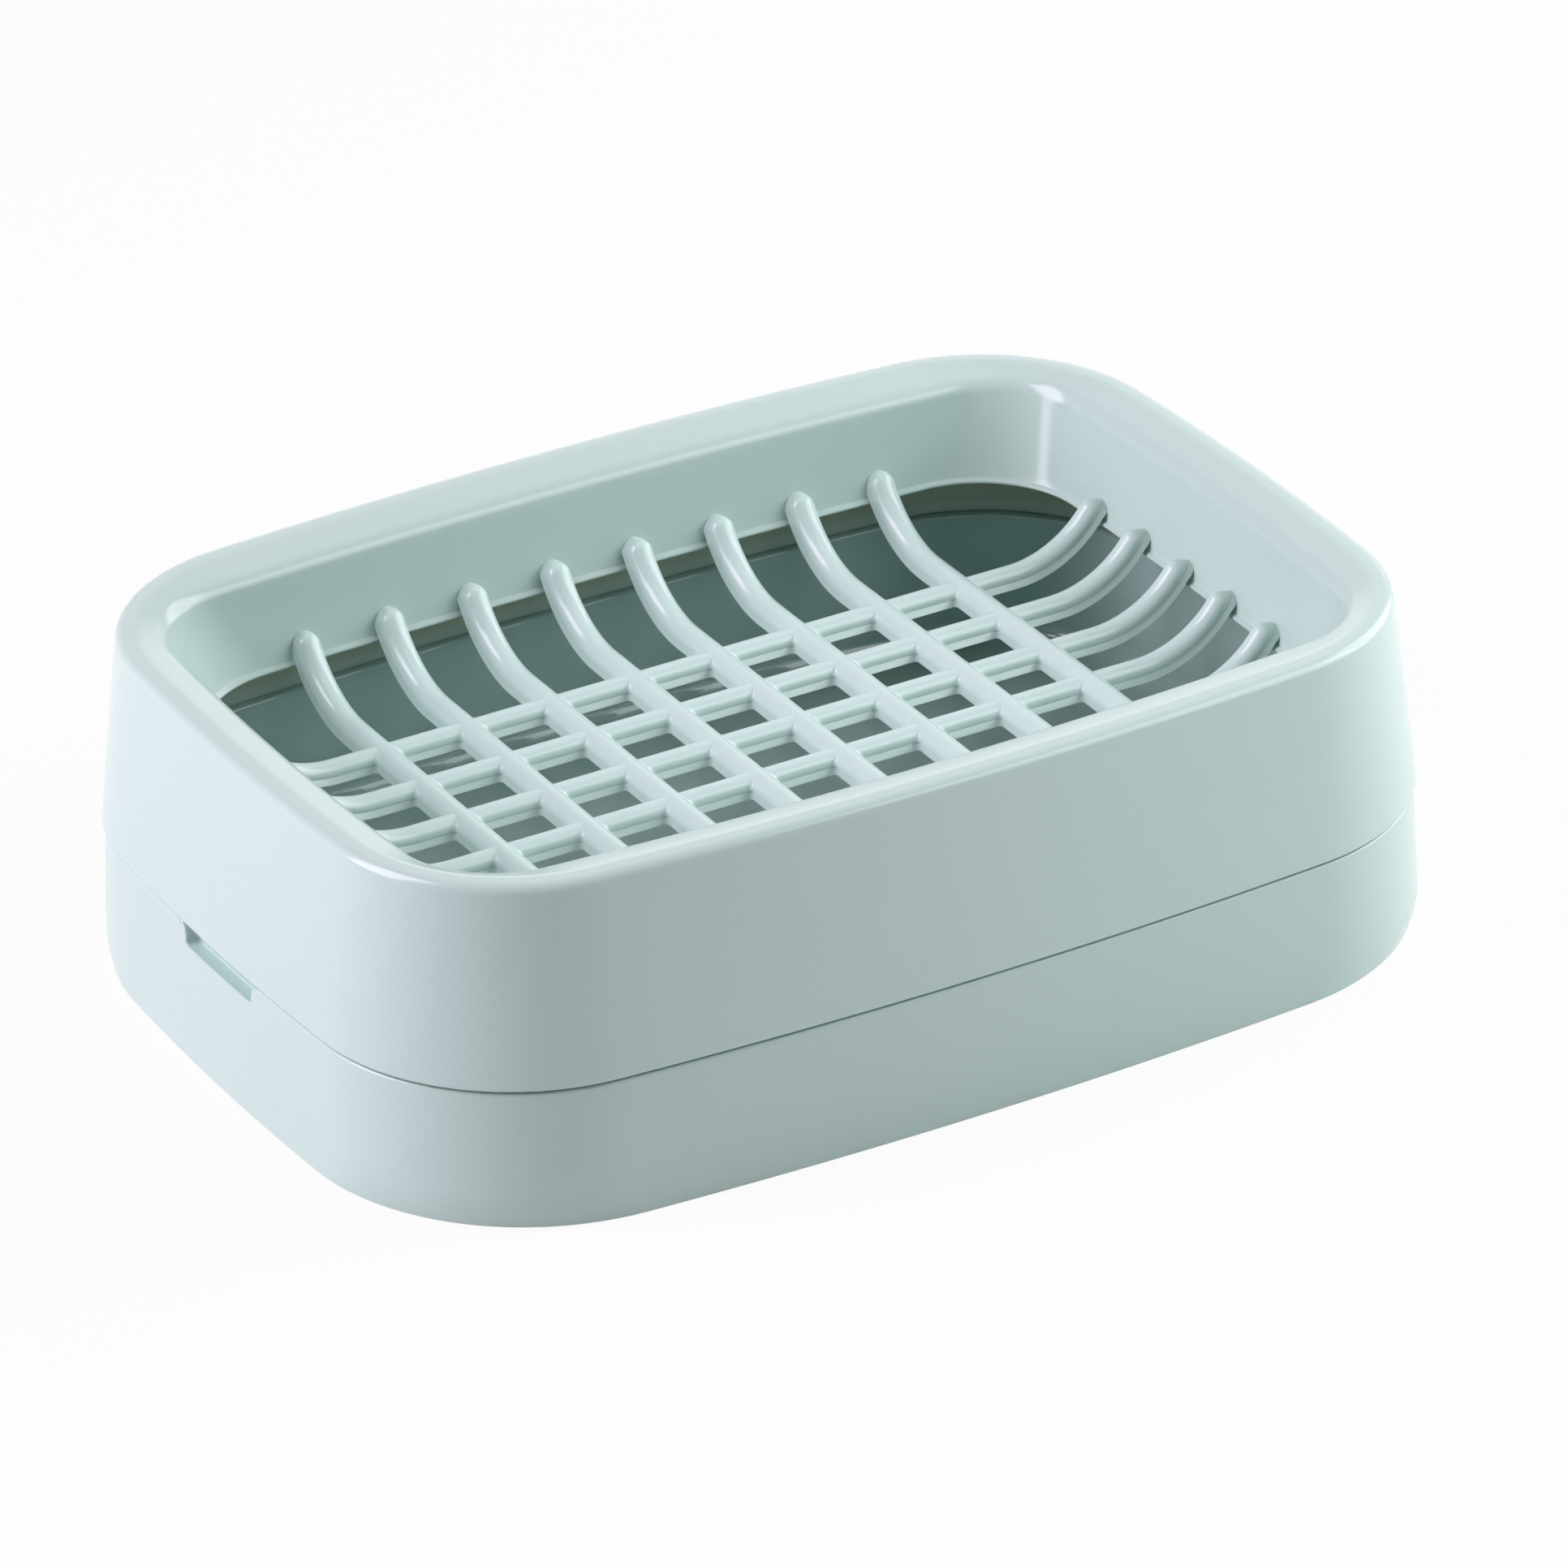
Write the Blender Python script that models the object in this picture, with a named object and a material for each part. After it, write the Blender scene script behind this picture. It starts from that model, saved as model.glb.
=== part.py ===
"""Draining soap holder: a drip base and the tray that lifts off it.

The tray is one moulding. Its outer skirt turns over a rounded rim into a steep inner wall that ends
at a thin lip round the opening, and the drain grille spans that opening: bars that run flat across
the middle, curve up at each end and run out on the inner wall in ball-nosed tips. The base is a
shallow tray that catches the water. A spigot on its wall stands inside the foot of the tray's skirt.

Frame: origin at the middle of the face that stands on the table, +X along the length, +Z up. Metres.
"""
import math

import bmesh
import bpy
from mathutils import Vector

PART_NAME = "draining_soap_holder"

# Plan of the whole dish at the foot of the tray's skirt: four bowed sides and round corners
dish_length = 0.1304
dish_depth = 0.0944
corner_radius = 0.0240
end_bow_radius = 0.385
side_bow_radius = 0.556

# Heights above the table
dish_height = 0.0384
shoulder_height = 0.0158
seat_gap = 0.0003

# Base: wall, floor, foot ring and spigot
base_wall = 0.0024
base_top_inset = 0.0003
base_flare = 0.0007
base_inner_draft = 0.0003
base_foot_radius = 0.0004
base_floor = 0.0020
foot_ring_height = 0.0012
foot_ring_width = 0.0032
foot_ring_draft = 0.0003
base_floor_fillet = 0.0030
spigot_wall = 0.0014
spigot_height = 0.0034
spigot_lead_in = 0.0004

# Finger notch in the base's wall, under the tray's left end
notch_width = 0.0146
notch_height = 0.0024
notch_shoulder_radius = 0.0016
notch_corner_radius = 0.0004

# Tray: skirt, rim, inner wall and lip
skirt_wall = 0.0020
skirt_draft = 0.0025
rim_outer_radius = 0.0011
rim_land = 0.0030
rim_inner_radius = 0.0035
rim_wall = 0.0018
inner_wall = 0.0018
lip_height = 0.0270
lip_edge = 0.0003
lip_end_inset = 0.0122
lip_side_inset = 0.0124
lip_corner_radius = 0.0124
lip_end_bow_radius = 0.77
lip_side_bow_radius = 1.06
inner_wall_slope = math.radians(74)

# Clearance between the spigot and the skirt that stands round it
spigot_clearance = 0.0003

# Grille: the bars meet at one mould line, with half-round beads on slightly wider keels
mould_line_height = 0.0227
cross_bar_count = 8
cross_bead_radius = 0.0015
cross_keel_depth = 0.0009
long_bar_count = 5
long_bead_radius = 0.0013
long_keel_depth = 0.0008
keel_ledge = 0.00022
keel_ledge_fall = 0.00005
keel_draft = 0.00015
outer_bay = 0.0173
arm_bend_radius = 0.0130
arm_rise = 0.0060
tip_inset = 0.0002

# Faces per arc
corner_steps = 10
side_steps = 6
end_steps = 4
edge_round_steps = 3
rim_round_steps = 5
floor_fillet_steps = 4
notch_steps = 3
bead_steps = 6
bend_steps = 6
nose_steps = 3

# Edges that turn more than this are shaded sharp
sharp_edge_angle = math.radians(30)

# Cutters run past the faces that they cut by this much
overrun = 0.0020

# Colours and finish from the photograph
tray_colour = (0.56, 0.68, 0.69, 1.0)
base_colour = (0.55, 0.67, 0.68, 1.0)
plastic_roughness = 0.28


def make_collection(name):
    collection = bpy.data.collections.new(name)
    bpy.context.scene.collection.children.link(collection)
    return collection


def make_material(name, colour):
    material = bpy.data.materials.new(name)
    material.use_nodes = True
    shader = material.node_tree.nodes["Principled BSDF"]
    shader.inputs["Base Color"].default_value = colour
    shader.inputs["Roughness"].default_value = plastic_roughness
    shader.inputs["Metallic"].default_value = 0.0
    material.diffuse_color = colour
    return material


def make_object(name, bm, collection, material=None):
    """Turn a bmesh into an object with outward faces and smooth shading"""
    bmesh.ops.recalc_face_normals(bm, faces=bm.faces[:])
    mesh = bpy.data.meshes.new(name)
    bm.to_mesh(mesh)
    bm.free()
    mesh.shade_smooth()
    mesh.set_sharp_from_angle(angle=sharp_edge_angle)
    obj = bpy.data.objects.new(name, mesh)
    collection.objects.link(obj)
    if material:
        mesh.materials.append(material)
    return obj


def arc(centre, radius, start, end, steps):
    """Points on an arc in a plane, both ends included"""
    cx, cy = centre
    angles = [start + (end - start) * k / steps for k in range(steps + 1)]
    return [(cx + radius * math.cos(a), cy + radius * math.sin(a)) for a in angles]


def bowed_outline(half_length, half_depth, corner, end_bow, side_bow):
    """Closed outline of four bowed sides whose arcs run tangent into the corner arcs"""
    side_centre = Vector((0.0, half_depth - side_bow))
    end_centre = Vector((half_length - end_bow, 0.0))
    to_corner_from_side = side_bow - corner
    to_corner_from_end = end_bow - corner
    span = end_centre - side_centre
    along = (to_corner_from_side**2 - to_corner_from_end**2 + span.length_squared) / (2 * span.length)
    across = math.sqrt(to_corner_from_side**2 - along**2)
    direction = span.normalized()
    corner_centre = side_centre + direction * along + Vector((direction.y, -direction.x)) * across
    from_side = corner_centre - side_centre
    from_end = corner_centre - end_centre
    side_angle = math.atan2(from_side.y, from_side.x)
    end_angle = math.atan2(from_end.y, from_end.x)

    quarter = arc(end_centre, end_bow, 0.0, end_angle, end_steps // 2)
    quarter += arc(corner_centre, corner, end_angle, side_angle, corner_steps)[1:]
    quarter += arc(side_centre, side_bow, side_angle, math.pi / 2, side_steps // 2)[1:]
    half = quarter + [(-x, y) for x, y in reversed(quarter[:-1])]
    return half + [(x, -y) for x, y in reversed(half[1:-1])]


def dish_loop(offset, height):
    """The dish's plan outline, moved out by offset, at a height"""
    outline = bowed_outline(
        dish_length / 2 + offset,
        dish_depth / 2 + offset,
        corner_radius + offset,
        end_bow_radius + offset,
        side_bow_radius + offset,
    )
    return [Vector((x, y, height)) for x, y in outline]


def lip_half_length():
    return dish_length / 2 - lip_end_inset


def lip_half_depth():
    return dish_depth / 2 - lip_side_inset


def lip_loop(offset, height):
    """The opening's outline, moved out by offset, at a height"""
    outline = bowed_outline(
        lip_half_length() + offset,
        lip_half_depth() + offset,
        lip_corner_radius + offset,
        lip_end_bow_radius + offset,
        lip_side_bow_radius + offset,
    )
    return [Vector((x, y, height)) for x, y in outline]


def loft(bm, loops, closed_section=False, cap_ends=False):
    """Skin a row of outlines that have equal numbers of points"""
    rings = [[bm.verts.new(point) for point in loop] for loop in loops]
    pairs = list(zip(rings, rings[1:]))
    if closed_section:
        pairs.append((rings[-1], rings[0]))
    for lower, upper in pairs:
        count = len(lower)
        for k in range(count):
            after = (k + 1) % count
            bm.faces.new((lower[k], lower[after], upper[after], upper[k]))
    if cap_ends:
        bm.faces.new(rings[0])
        bm.faces.new(rings[-1])
    return rings


def build_base(collection, material):
    """Drip base: floor on a foot ring, wall with a shoulder for the tray and a spigot inside it"""
    floor_top = foot_ring_height + base_floor
    outer_foot = base_flare - base_top_inset
    inner_top = -base_top_inset - base_wall
    inner_foot = outer_foot - foot_ring_width
    spigot_outer = inner_top + spigot_wall
    spigot_top = shoulder_height + spigot_height

    sections = [(inner_foot - foot_ring_draft, foot_ring_height)]
    sections.append((inner_foot, 0.0))
    foot_centre = (outer_foot - base_foot_radius, base_foot_radius)
    sections += arc(foot_centre, base_foot_radius, -math.pi / 2, 0.0, edge_round_steps)
    sections.append((-base_top_inset, shoulder_height))
    sections.append((spigot_outer, shoulder_height))
    sections.append((spigot_outer, spigot_top - spigot_lead_in))
    sections.append((spigot_outer - spigot_lead_in, spigot_top))
    sections.append((inner_top, spigot_top))
    fillet_centre = (inner_top - base_inner_draft - base_floor_fillet, floor_top + base_floor_fillet)
    sections += arc(fillet_centre, base_floor_fillet, 0.0, -math.pi / 2, floor_fillet_steps)

    bm = bmesh.new()
    loft(bm, [dish_loop(offset, height) for offset, height in sections], cap_ends=True)
    return make_object("drip_base", bm, collection, material)


def build_notch_cutter(collection):
    """The notch's outline, carried through the wall at the left end of the base, open at the top"""
    top = shoulder_height + spigot_height + overrun
    bottom = shoulder_height - notch_height
    inner_face = dish_length / 2 - base_top_inset - base_wall - overrun
    outer_face = dish_length / 2 + overrun
    half = notch_width / 2
    low_centre = (half - notch_corner_radius, bottom + notch_corner_radius)
    shoulder_centre = (half + notch_shoulder_radius, shoulder_height - notch_shoulder_radius)
    right = arc(low_centre, notch_corner_radius, -math.pi / 2, 0.0, notch_steps)
    right += arc(shoulder_centre, notch_shoulder_radius, math.pi, math.pi / 2, notch_steps)
    right.append((half + notch_shoulder_radius, top))
    outline = right + [(-y, z) for y, z in reversed(right)]
    bm = bmesh.new()
    loops = [[Vector((-x, y, z)) for y, z in outline] for x in (inner_face, outer_face)]
    loft(bm, loops, cap_ends=True)
    return make_object("notch_cutter", bm, collection)


def build_tray_shell(bm):
    """Skirt, rim, inner wall and lip as one closed section carried round the plan outline"""
    foot = shoulder_height + seat_gap
    lap_inner = -base_top_inset - base_wall + spigot_wall + spigot_clearance
    lap_top = shoulder_height + spigot_height + seat_gap
    skirt_height = dish_height - rim_outer_radius - foot

    # Outer skin: skirt, small outer round, land, large inner round
    rim_outer = -skirt_draft - rim_outer_radius
    outer = [(0.0, foot)]
    outer += arc(
        (rim_outer, dish_height - rim_outer_radius), rim_outer_radius, 0.0, math.pi / 2, edge_round_steps
    )
    rim_inner = rim_outer - rim_land
    round_centre = (rim_inner, dish_height - rim_inner_radius)
    round_end = math.pi / 2 + inner_wall_slope
    outer += arc(round_centre, rim_inner_radius, math.pi / 2, round_end, rim_round_steps)

    # Inner skin: back of the inner wall, underside of the rim, inside of the skirt
    back_radius = rim_inner_radius - inner_wall
    back = arc(round_centre, back_radius, round_end, math.pi / 2, rim_round_steps // 2)
    skirt_inner_top = -skirt_draft - skirt_wall
    back.append((skirt_inner_top, dish_height - rim_wall))
    lap_share = (lap_top - foot) / skirt_height
    skirt_inner_lap = -skirt_draft * lap_share - skirt_wall
    back.append((skirt_inner_lap, lap_top))
    back.append((lap_inner, lap_top))
    back.append((lap_inner, foot))

    loops = [dish_loop(offset, height) for offset, height in outer]
    loops.append(lip_loop(0.0, lip_height))
    loops.append(lip_loop(0.0, lip_height - lip_edge))
    loops.append(lip_loop(inner_wall, lip_height - lip_edge))
    loops += [dish_loop(offset, height) for offset, height in back]
    loft(bm, loops, closed_section=True)


def bar_section(bead_radius, keel_depth):
    """Half-round bead on the mould line, the keel's ledges beside it and its flanks, across and up"""
    ledge = bead_radius + keel_ledge
    foot = ledge - keel_draft
    bead = arc((0.0, 0.0), bead_radius, 0.0, math.pi, bead_steps)
    left = [(-ledge, -keel_ledge_fall), (-foot, -keel_depth)]
    right = [(foot, -keel_depth), (ledge, -keel_ledge_fall)]
    return bead + left + right


def bar_half_path(reach):
    """Mould line of half a bar, from its middle to the middle of its tip: along, height, slope"""
    bend = math.acos(1 - arm_rise / arm_bend_radius)
    run = arm_bend_radius * math.sin(bend)
    stations = [(0.0, mould_line_height, 0.0)]
    for k in range(bend_steps + 1):
        slope = bend * k / bend_steps
        along = reach - run + arm_bend_radius * math.sin(slope)
        height = mould_line_height + arm_bend_radius * (1 - math.cos(slope))
        stations.append((along, height, slope))
    return stations


def add_bar(bm, reach, section, bead_radius, place, along_x):
    """Sweep a section along a bar and close both ends with ball noses"""
    half = bar_half_path(reach)
    tip_along, tip_height, tip_slope = half[-1]
    nose = []
    for k in range(1, nose_steps):
        angle = math.pi / 2 * k / nose_steps
        advance = bead_radius * math.sin(angle)
        nose.append(
            (
                tip_along + advance * math.cos(tip_slope),
                tip_height + advance * math.sin(tip_slope),
                tip_slope,
                math.cos(angle),
            )
        )
    right = [(along, height, slope, 1.0) for along, height, slope in half[1:]] + nose
    left = [(-along, height, -slope, scale) for along, height, slope, scale in reversed(right)]
    loops = []
    for along, height, slope, scale in left + right:
        loop = []
        for across, up in section:
            forward = along - up * scale * math.sin(slope)
            level = height + up * scale * math.cos(slope)
            sideways = place + across * scale
            point = (forward, -sideways, level) if along_x else (sideways, forward, level)
            loop.append(Vector(point))
        loops.append(loop)
    rings = loft(bm, loops)
    for end, ring in ((-1, rings[0]), (1, rings[-1])):
        forward = end * (tip_along + bead_radius * math.cos(tip_slope))
        level = tip_height + bead_radius * math.sin(tip_slope)
        pole = bm.verts.new((forward, -place, level) if along_x else (place, forward, level))
        for k, vert in enumerate(ring):
            bm.faces.new((vert, ring[(k + 1) % len(ring)], pole))


def build_bars(name, collection, count, spread, reach, section, bead_radius, along_x):
    """A row of like bars, the outer two at the spread to either side of the middle"""
    bm = bmesh.new()
    for k in range(count):
        place = spread * (2 * k / (count - 1) - 1)
        add_bar(bm, reach, section, bead_radius, place, along_x)
    return make_object(name, bm, collection)


def add_boolean(obj, name, operand, operation):
    modifier = obj.modifiers.new(name, "BOOLEAN")
    modifier.operation = operation
    modifier.solver = "EXACT"
    modifier.object = operand
    operand.hide_render = True
    operand.display_type = "WIRE"


def build_tray(collection, cutters, material):
    """Tray shell with the drain grille moulded into its inner wall"""
    bm = bmesh.new()
    build_tray_shell(bm)
    tray = make_object("soap_tray", bm, collection, material)
    cross_bars = build_bars(
        "cross_bars",
        cutters,
        cross_bar_count,
        lip_half_length() - outer_bay,
        lip_half_depth() - tip_inset,
        bar_section(cross_bead_radius, cross_keel_depth),
        cross_bead_radius,
        along_x=False,
    )
    long_bars = build_bars(
        "long_bars",
        cutters,
        long_bar_count,
        lip_half_depth() - outer_bay,
        lip_half_length() - tip_inset,
        bar_section(long_bead_radius, long_keel_depth),
        long_bead_radius,
        along_x=True,
    )
    add_boolean(tray, "Cross bars", cross_bars, "UNION")
    add_boolean(tray, "Long bars", long_bars, "UNION")
    return tray


def main():
    for obj in list(bpy.data.objects):
        bpy.data.objects.remove(obj, do_unlink=True)
    parts = make_collection(PART_NAME)
    cutters = make_collection("cutters")

    base = build_base(parts, make_material("base_plastic", base_colour))
    add_boolean(base, "Finger notch", build_notch_cutter(cutters), "DIFFERENCE")
    build_tray(parts, cutters, make_material("tray_plastic", tray_colour))


main()
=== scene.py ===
"""Draining soap holder, dressed: drip base, tray shell and drain grille, on a pale floor

Run as a script. It is laid out as an add-on: its sizes and colours are scene properties, an operator
makes each piece, and a panel in the 3D view's sidebar lists them. Metres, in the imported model's frame.
"""

import math
from collections import namedtuple

import bmesh
import bpy
from bpy.props import FloatProperty, FloatVectorProperty, IntProperty, PointerProperty
from bpy.types import Operator, Panel, PropertyGroup
from mathutils import Matrix, Vector


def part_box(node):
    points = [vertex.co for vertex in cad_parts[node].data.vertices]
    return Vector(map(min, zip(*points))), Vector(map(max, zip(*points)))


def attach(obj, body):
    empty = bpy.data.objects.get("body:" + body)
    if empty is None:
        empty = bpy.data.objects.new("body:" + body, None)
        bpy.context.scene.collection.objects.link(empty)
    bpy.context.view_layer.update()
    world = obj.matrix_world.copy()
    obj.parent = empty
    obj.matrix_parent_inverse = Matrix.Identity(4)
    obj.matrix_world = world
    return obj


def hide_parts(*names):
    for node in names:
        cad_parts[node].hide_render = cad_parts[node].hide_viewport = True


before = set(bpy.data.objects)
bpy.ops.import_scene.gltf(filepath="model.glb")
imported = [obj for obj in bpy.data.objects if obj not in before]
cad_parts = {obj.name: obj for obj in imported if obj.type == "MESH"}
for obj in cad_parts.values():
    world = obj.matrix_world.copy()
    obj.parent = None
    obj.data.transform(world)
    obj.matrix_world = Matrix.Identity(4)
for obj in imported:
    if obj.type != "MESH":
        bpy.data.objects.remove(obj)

bl_info = {
    "name": "Draining soap holder",
    "version": (1, 0, 0),
    "blender": (4, 5, 0),
    "location": "3D View > Sidebar > Soap holder",
    "description": "Makes the drip base, tray and drain grille of a draining soap holder",
    "category": "Object",
}

BASE_BODY = "base"
TRAY_BODY = "tray"
BASE_NODE = "drip_base"
TRAY_NODE = "soap_tray"

tray_low, tray_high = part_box(TRAY_NODE)
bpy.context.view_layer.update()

UP = (0.0, 0.0, 1.0)
MM = 0.001
QUARTER_TURN = math.pi / 2

# Points closer than this are one point
WELD = 1e-6

# The same where four quarters of a crossing meet, whose points are up to this far apart
CROSSING_WELD = 0.025 * MM

# The same between crossings, which are set at worked-out places
BAY_WELD = 10 * WELD

# A row of points this far past a rounded edge keeps the face beside it flat
BESIDE = 0.25 * MM

# The same in the base, as multiples of the edge's radius: on a wall, on the floor, inside the foot ring
WALL_GUARD = 2.5
FLOOR_GUARD = 1.6
RING_GUARD = 4

# Edges that turn more than this are shaded sharp
SHARP_ANGLE = math.radians(42)

# Faces whose normal rises more than this lie flat
FLAT = 0.9

# Edges per arc
END_STEPS = 8
CORNER_STEPS = 24
SIDE_STEPS = 10
ROUND_STEPS = 8
EDGE_STEPS = 4
FILLET_STEPS = 8
BEAD_STEPS = 10
CAP_STEPS = 4
BEND_STEPS = 16
NOSE_STEPS = 8
NOTCH_SHOULDER_STEPS = 6
NOTCH_EDGE_STEPS = 3

# Rounds over this radius take ROUND_STEPS, and the others EDGE_STEPS
LARGE_ROUND = 1 * MM

# The arms' ball noses stop this share of a step short of a point, and a small flat closes them
NOSE_FLAT = 0.4

# Rows on the tray's inner wall, as shares of the way down it
INNER_WALL_ROWS = (0.2, 0.93)

# The hidden back of the rim: its two rounds, and the inner wall's thickness measured level
# for a thickness of 1 measured square to it
BACK_ROUND = 1.5 * MM
BACK_EDGE = 0.8 * MM
SLANT = 1.04

# The row in the middle of the blend at the base's foot: its height and how far it has gone over to
# the wall, as shares, and the row above the blend that keeps the wall straight
BLEND_MIDDLE = 0.45
BLEND_GONE = 0.6
BLEND_OVER = 1.25

# The crease's foot lies this many times its depth below the mould line
CREASE_FOOT = 1.8

# The fillet in a crossing's corner all but closes under the keel, and at its bead's crest as a share
SMALLEST_FILLET = 0.01 * MM
SMALLEST_SHARE = 0.02

# The notch's cutter reaches this many walls outward
CUTTER_REACH = 4

# The arms grow from the open ends past this share of the outermost crossings' half bays
ARM_START = 0.9

# Plastic: how it bends light, and the palest and deepest shade of its clouding
PLASTIC_IOR = 1.49
PALE = 1.03
DEEP = 0.965

# Scale and detail of the plastic's clouding and grain, and of its orange peel and sink waves
CLOUD = (28.0, 2.0)
GRAIN = (900.0, 3.0)
PEEL = (1500.0, 1.0)
WAVE = (90.0, 1.0)

# How much of the tint is clouding, how far clouding and grain change the roughness, and the relief
CLOUD_SHARE = 0.7
CLOUD_GLOSS = 0.05
GRAIN_GLOSS = 0.06
RELIEF_DEPTH = 0.04 * MM
RELIEF_STRENGTH = 0.35
PEEL_HEIGHT = 0.55
WAVE_HEIGHT = 1.6

FLOOR_RADIUS = 3.0
FLOOR_SIDES = 64


def length(name, description, millimetres):
    return FloatProperty(
        name=name,
        description=description,
        default=millimetres * MM,
        min=0.0,
        precision=5,
        subtype="DISTANCE",
        unit="LENGTH",
    )


def angle(name, description, degrees):
    return FloatProperty(
        name=name,
        description=description,
        default=math.radians(degrees),
        subtype="ANGLE",
        unit="ROTATION",
    )


def share(name, description, value):
    return FloatProperty(
        name=name, description=description, default=value, min=0.0, max=1.0, subtype="FACTOR"
    )


def colour(name, description, value):
    return FloatVectorProperty(
        name=name, description=description, default=value, subtype="COLOR", size=3, min=0.0, max=1.0
    )


class SoapHolderDish(PropertyGroup):
    """Plan and section of the tray"""

    length: length("Length", "Length over the foot of the tray's skirt", (tray_high.x - tray_low.x) / MM)
    depth: length("Depth", "Depth over the foot of the tray's skirt", (tray_high.y - tray_low.y) / MM)
    top: length("Rim height", "Top of the tray's rim", tray_high.z / MM)
    foot: length("Skirt foot", "Underside of the tray's skirt", tray_low.z / MM)
    corner: length("Corner radius", "Plan radius of the dish's corners", 24.0)
    end_bow: length("End bow", "Plan radius of the bowed short sides", 385.0)
    side_bow: length("Side bow", "Plan radius of the bowed long sides", 556.0)
    skirt_lean: length("Skirt lean", "How far the skirt leans in over its height", 2.5)
    skirt_wall: length("Skirt wall", "Thickness of the skirt", 1.6)
    rim_outer: length("Outer round", "Radius between skirt and rim", 1.1)
    crest_inset: length("Crest inset", "From the foot in to where the rim starts to fall", 4.9)
    crest_round: length("Crest round", "Radius in which the rim starts to fall", 3.0)
    bend_end_inset: length("Bend end inset", "From the short side's foot in to the inner wall's top", 8.9)
    bend_side_inset: length("Bend side inset", "From the long side's foot in to the inner wall's top", 9.35)
    bend_height: length("Bend height", "Height where the rim meets the inner wall", 37.3)
    bend_corner: length("Bend corner", "Plan radius of the corners between rim and inner wall", 10.4)
    rim_inner: length("Inner round", "Radius between rim and inner wall", 2.2)
    rim_wall: length("Rim wall", "Thickness of the rim and the inner wall", 1.8)
    lip_height: length("Lip height", "Where the inner wall ends", 27.0)
    lip_end_inset: length("Lip end inset", "From the short side's foot in to the lip", 12.2)
    lip_side_inset: length("Lip side inset", "From the long side's foot in to the lip", 12.4)
    lip_corner: length("Lip corner", "Plan radius of the opening's corners", 12.4)
    lip_end_bow: length("Lip end bow", "Plan radius of the opening's short sides", 770.0)
    lip_side_bow: length("Lip side bow", "Plan radius of the opening's long sides", 1060.0)
    lip_drop: length("Lip drop", "Height of the lip's rounded edge", 0.35)
    lip_land: length("Lip land", "Width of the small shelf along the lip", 0.48)
    lip_round: length("Lip round", "Radius of the lip's edges", 0.12)
    lap_clearance: length("Lap clearance", "Gap between the skirt and the base's spigot", 0.3)
    lap_headroom: length("Lap headroom", "Gap over the spigot's top", 0.06)
    edge_round: length("Edge round", "Radius of the skirt's foot", 0.32)


class SoapHolderBase(PropertyGroup):
    """Section of the drip base"""

    shoulder: length("Shoulder", "Top of the wall that carries the tray", 15.8)
    wall: length("Wall", "Thickness of the wall at its top", 2.4)
    top_inset: length("Top inset", "How far the wall's top stands inside the skirt's foot", 0.3)
    flare: length("Flare", "How far the wall runs out from its top to its foot", 0.7)
    draft: length("Inner draft", "How far the wall's inner face runs in to the floor", 0.3)
    foot_round: length("Foot round", "Radius under the wall's foot", 0.4)
    foot_corner: length("Foot corner", "How much larger the plan radius of the foot's corners is", 2.6)
    foot_blend: length("Foot blend", "Height over which the foot's corners tuck in", 3.2)
    floor: length("Floor", "Thickness of the floor", 2.0)
    ring_height: length("Foot ring height", "How far the floor stands off the table", 1.2)
    ring_width: length("Foot ring width", "Width of the ring that stands on the table", 3.2)
    fillet: length("Floor fillet", "Radius between the floor and the wall", 3.0)
    spigot_wall: length("Spigot wall", "Thickness of the spigot", 1.4)
    spigot_height: length("Spigot height", "How far the spigot stands up inside the skirt", 2.5)
    spigot_edge: length("Spigot edge", "Radius of the spigot's inner edge", 0.5)
    edge_round: length("Edge round", "Radius of the shoulder's edge", 0.3)
    notch_width: length("Notch width", "Width of the finger notch at its sill", 14.6)
    notch_height: length("Notch height", "Height of the finger notch", 2.4)
    notch_depth: length("Notch depth", "How far the top of the notch's back stands in from the skirt", 1.1)
    notch_lean: angle("Notch lean", "How far the notch's back leans in towards its sill", 20.0)
    notch_shoulder: length("Notch shoulder", "Radius where the notch opens into the shoulder", 1.6)
    notch_corner: length("Notch corner", "Radius at the ends of the sill", 0.4)
    notch_edge: length("Notch edge", "Radius of the edges round the notch", 0.25)


class SoapHolderGrille(PropertyGroup):
    """Sizes of the drain grille's bars"""

    mould_line: length("Mould line", "Height of the line where beads meet keels", 22.7)
    cross_count: IntProperty(name="Cross bars", description="Bars that run front to back", default=8)
    cross_bead: length("Cross bead", "Radius of the cross bars' beads", 1.5)
    long_count: IntProperty(name="Long bars", description="Bars that run along the dish", default=5)
    long_bead: length("Long bead", "Radius of the long bars' beads", 1.3)
    keel_depth: length("Keel depth", "How far the keels hang below the mould line", 0.85)
    keel_ledge: length("Keel ledge", "Height of the widest line of the keels above their foot", 0.14)
    crease: length("Crease", "Depth of the crease between beads and keels", 0.07)
    cross_flare: length("Cross flare", "How far the cross bars' keels widen below their beads", 0.14)
    long_flare: length("Long flare", "How far the long bars' keels widen below their beads", 0.34)
    keel_edge: length("Keel edge", "Size of the softened edges of the keels", 0.08)
    outer_bay: length("Outer bay", "From the lip in to the outermost bars", 17.3)
    bend_radius: length("Arm bend", "Radius in which the arms curve up", 13.0)
    side_rise: length("Side rise", "How far the arms rise to the long sides", 5.75)
    end_rise: length("End rise", "How far the arms rise to the short sides", 5.3)
    side_inset: length("Side inset", "From the long side's lip in to the middle of the arms' tips", 0.25)
    end_inset: length("End inset", "From the short side's lip in to the middle of the arms' tips", 0.75)
    nose_reach: share("Nose reach", "How much longer than a ball the noses' outer half is", 0.9)
    fillet: length("Crossing fillet", "Plan radius in the corners between crossing bars", 0.5)


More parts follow.
